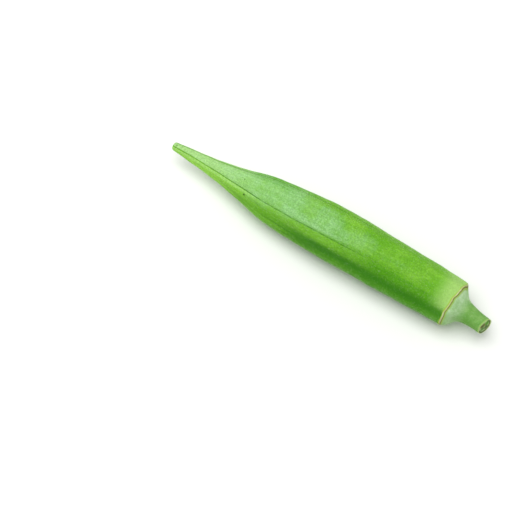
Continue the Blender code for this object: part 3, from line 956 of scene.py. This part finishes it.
# The second number says where the painted shade in each well's depth starts, inside its edge.
WELL_EDGE_MM, WELL_SHADE_MM = 0.2, 0.25     # half of the edge's width, and where the dark starts
tree, shader = start(bpy.data.materials["knife_cut_flesh"])
rim_mm = add(tree, "ShaderNodeAttribute", attribute_name="rim_mm").outputs["Fac"]
here = add(tree, "ShaderNodeTexCoord").outputs["Object"]
tear = add(tree, "ShaderNodeTexNoise", {
    "Vector": here, "Scale": 1 / (TEAR_MM * MM), "Detail": 4.0, "Roughness": 0.7}).outputs["Fac"]
ragged = add(tree, "ShaderNodeMath", {
    0: tear, 1: RING_TEAR_MM, 2: rim_mm}, operation="MULTIPLY_ADD").outputs[0]
base = colour("#A8C880")
for degrees, out_mm, radius, hex_value in WELLS:
    outwards = cut_up * math.cos(math.radians(degrees)) + cut_side * math.sin(math.radians(degrees))
    gap = add(tree, "ShaderNodeVectorMath", {
        0: here, 1: cut_middle + outwards * out_mm * MM}, operation="DISTANCE").outputs["Value"]
    gap = add(tree, "ShaderNodeMath", {
        0: tear, 1: WELL_TEAR_MM * MM, 2: gap}, operation="MULTIPLY_ADD").outputs[0]
    edge_mm = radius + TEAR_SHIFT_MM
    base = paint(tree, base, hex_value, (
        gap, (edge_mm + WELL_EDGE_MM) * MM, (edge_mm - WELL_EDGE_MM) * MM, 0, 1))
    # Painted shade in the depth of each well.
    base = paint(tree, base, "#2C480C", (
        gap, (edge_mm - WELL_SHADE_MM) * MM, TEAR_SHIFT_MM * MM, 0, 0.7))
base = paint(tree, base, "#34500E", (ragged, 0.40, 0.05, 0, 0.95))
base = paint(tree, base, "#BCD08A", (rim_mm, 0.38, 0.20, 0, 1))
bump = add(tree, "ShaderNodeBump", {"Height": tear, "Distance": 0.3 * MM})
tree.links.new(base, shader.inputs["Base Color"])
tree.links.new(bump.outputs[0], shader.inputs["Normal"])
shader.inputs["Roughness"].default_value = 0.6
shader.inputs["IOR"].default_value = 1.38
print("cut nodes:", len(tree.nodes))

# %% [markdown]
# ## Down
# Young okra is covered in short, pale hairs, thickest on its ridges and easiest to see against
# the light along its outline. One hair is a slim cone with three sides. It is modelled once, and
# copies of its points are set out over the skin by area, from a seeded generator, leaning a
# little towards the beak. All of them are one mesh.

# %% Model one hair
HAIR_LENGTH_MM = (0.3, 0.85)
HAIR_WIDTH_MM = 0.032
HAIR_COUNT = 30000
deselect_all()
bpy.ops.mesh.primitive_cone_add(
    vertices=3, radius1=HAIR_WIDTH_MM * MM / 2, radius2=0, depth=1, end_fill_type="NOTHING",
    location=(0, 0, 0.5))
hair = bpy.context.object
bpy.ops.object.transform_apply(location=True, rotation=True, scale=True)
hair_points = np.array([v.co for v in hair.data.vertices])
hair_faces = [tuple(p.vertices) for p in hair.data.polygons]
bpy.data.objects.remove(hair)
print("one hair:", len(hair_points), "points,", len(hair_faces), "faces")

# %% Set the hairs out over the skin
VALLEY_SHARE, RIDGE_SHARE = 0.45, 0.75      # how many grow in a valley, and how many more on a ridge
SCAR_SHARE = 0.3                            # fewer grow on cork, and none on the cut
BARE_BELOW_MM = 0.7                         # or where the pod lies on its surface
ROOT_SPREAD_MM, ROOT_DEPTH_MM = 0.25, 0.05
STRAY, BEAKWARD = 0.28, 0.25                # how far they stray from straight out, and their lean
VALLEY_LENGTH, RIDGE_LENGTH = 0.35, 0.65    # share of the length in a valley, and how much more on a ridge
rng = np.random.default_rng(11)
face_area = np.array([p.area for p in skin.data.polygons])
face_at = np.array([p.center for p in skin.data.polygons])
face_up = np.array([p.normal for p in skin.data.polygons])
face_slot = np.array([p.material_index for p in skin.data.polygons])
face_round = round_the_pod(face_at)[0]
face_ridge = 0.5 + 0.5 * np.cos(np.radians(RIDGES * (face_round - FIRST_RIDGE_DEG)))
likely = face_area * (VALLEY_SHARE + RIDGE_SHARE * face_ridge)
likely[face_slot == CUT] = 0
likely[face_slot == SCAR] *= SCAR_SHARE
likely[face_at[:, 2] < BARE_BELOW_MM * MM] = 0
chosen = rng.choice(len(likely), HAIR_COUNT, p=likely / likely.sum())
astray = rng.normal(0, ROOT_SPREAD_MM * MM, (HAIR_COUNT, 3))
roots = face_at[chosen] + astray * (1 - np.abs(face_up[chosen]))
growth = face_up[chosen] + rng.normal(0, STRAY, (HAIR_COUNT, 3)) + np.array([-BEAKWARD, 0, 0])
growth /= np.linalg.norm(growth, axis=1)[:, None]
side_of = np.cross(growth, rng.normal(0, 1, (HAIR_COUNT, 3)))
side_of /= np.linalg.norm(side_of, axis=1)[:, None]
other_side = np.cross(growth, side_of)
length = rng.uniform(*HAIR_LENGTH_MM, HAIR_COUNT) * MM
length *= VALLEY_LENGTH + RIDGE_LENGTH * face_ridge[chosen]
roots -= growth * ROOT_DEPTH_MM * MM
hair_cloud = (roots[:, None, :]
              + side_of[:, None, :] * hair_points[None, :, 0:1]
              + other_side[:, None, :] * hair_points[None, :, 1:2]
              + (growth * length[:, None])[:, None, :] * hair_points[None, :, 2:3])
first = np.arange(HAIR_COUNT) * len(hair_points)
down_faces = [tuple(start_at + i for i in face) for start_at in first.tolist() for face in hair_faces]
down_mesh = bpy.data.meshes.new("down")
down_mesh.from_pydata(hair_cloud.reshape(-1, 3).tolist(), [], down_faces)
down = bpy.data.objects.new("down", down_mesh)
bpy.context.scene.collection.objects.link(down)
lowest_mm = float(hair_cloud[..., 2].min()) / MM
print("down:", len(down_faces), "faces; lowest point", round(lowest_mm, 2), "mm up")

# %% [markdown]
# A plant hair is a row of clear, dead cells. It has no colour of its own: it scatters nearly all
# the light that falls on it, so it is pale and matt, with a trace of the green behind it.

# %% Down material
TONE_MM = 2.5
down_look = bpy.data.materials.new("pale_plant_hair")
down_mesh.materials.append(down_look)
tree, shader = start(down_look)
here = add(tree, "ShaderNodeTexCoord").outputs["Object"]
tone = add(tree, "ShaderNodeTexNoise", {
    "Vector": here, "Scale": 1 / (TONE_MM * MM), "Detail": 1.0}).outputs["Fac"]
base = paint(tree, colour("#A6CE84"), "#D4EAC0", (tone, 0.3, 0.7, 0, 1))
tree.links.new(base, shader.inputs["Base Color"])
shader.inputs["Roughness"].default_value = 0.6
shader.inputs["IOR"].default_value = 1.4
print("down nodes:", len(tree.nodes))

# %% [markdown]
# ## Floor and light
# The photograph is a bright studio picture on white. A white floor, a large soft key light
# almost straight above the pod, and an even sky give its gentle shade, which the painted shade
# in the skin deepens: the upper face is pale and bright, and the side that faces the camera from
# below is deeper and more saturated.

# %% Floor
FLOOR_SIDE = 6
deselect_all()
bpy.ops.mesh.primitive_plane_add(size=FLOOR_SIDE, location=(0, 0, 0))
floor = bpy.context.object
floor.name = "floor"
floor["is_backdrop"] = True
paper = bpy.data.materials.new("white_studio_paper")
floor.data.materials.append(paper)
tree, shader = start(paper)
shader.inputs["Base Color"].default_value = colour("#F2F3F0")
shader.inputs["Roughness"].default_value = 0.9
print("floor:", [round(v, 2) for v in floor.dimensions], "metres")

# %% Lights
KEY_WATTS = 7.0
KEY_SIDE = 0.8
SKY_STRENGTH = 0.60
key_from = Vector((-0.20, -0.08, 0.90))
key_data = bpy.data.lights.new("key", "AREA")
key_data.shape = "SQUARE"
key_data.size = KEY_SIDE
key_data.energy = KEY_WATTS
key = bpy.data.objects.new("key", key_data)
key.matrix_world = Matrix.Translation(key_from) @ key_from.to_track_quat("Z", "Y").to_matrix().to_4x4()
bpy.context.scene.collection.objects.link(key)
world = bpy.data.worlds.new("studio")
bpy.context.scene.world = world
world.use_nodes = True
sky = world.node_tree.nodes["Background"]
sky.inputs["Color"].default_value = (1, 1, 1, 1)
sky.inputs["Strength"].default_value = SKY_STRENGTH
bpy.context.scene.view_settings.view_transform = "Standard"
print("key light:", KEY_WATTS, "W,", round(key_from.length, 2), "m from the middle of the pod's footprint")

# %% [markdown]
# ## Hand over
# Each piece is told which body it rides on, and the frame's pod is hidden. The sizes of the
# frame and of the finished model are printed side by side, so that they can be compared.

# %% Attach each piece to its body and hide the frame's pod
for piece, slot in ((skin, "pod_skin"), (down, "down")):
    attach(piece, "root")
    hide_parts("okra_pod")
look_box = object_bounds()
for name, box in (("frame", cad_box), ("finished", look_box)):
    print(name, "mm:", [[round(v / MM, 2) for v in corner] for corner in box])
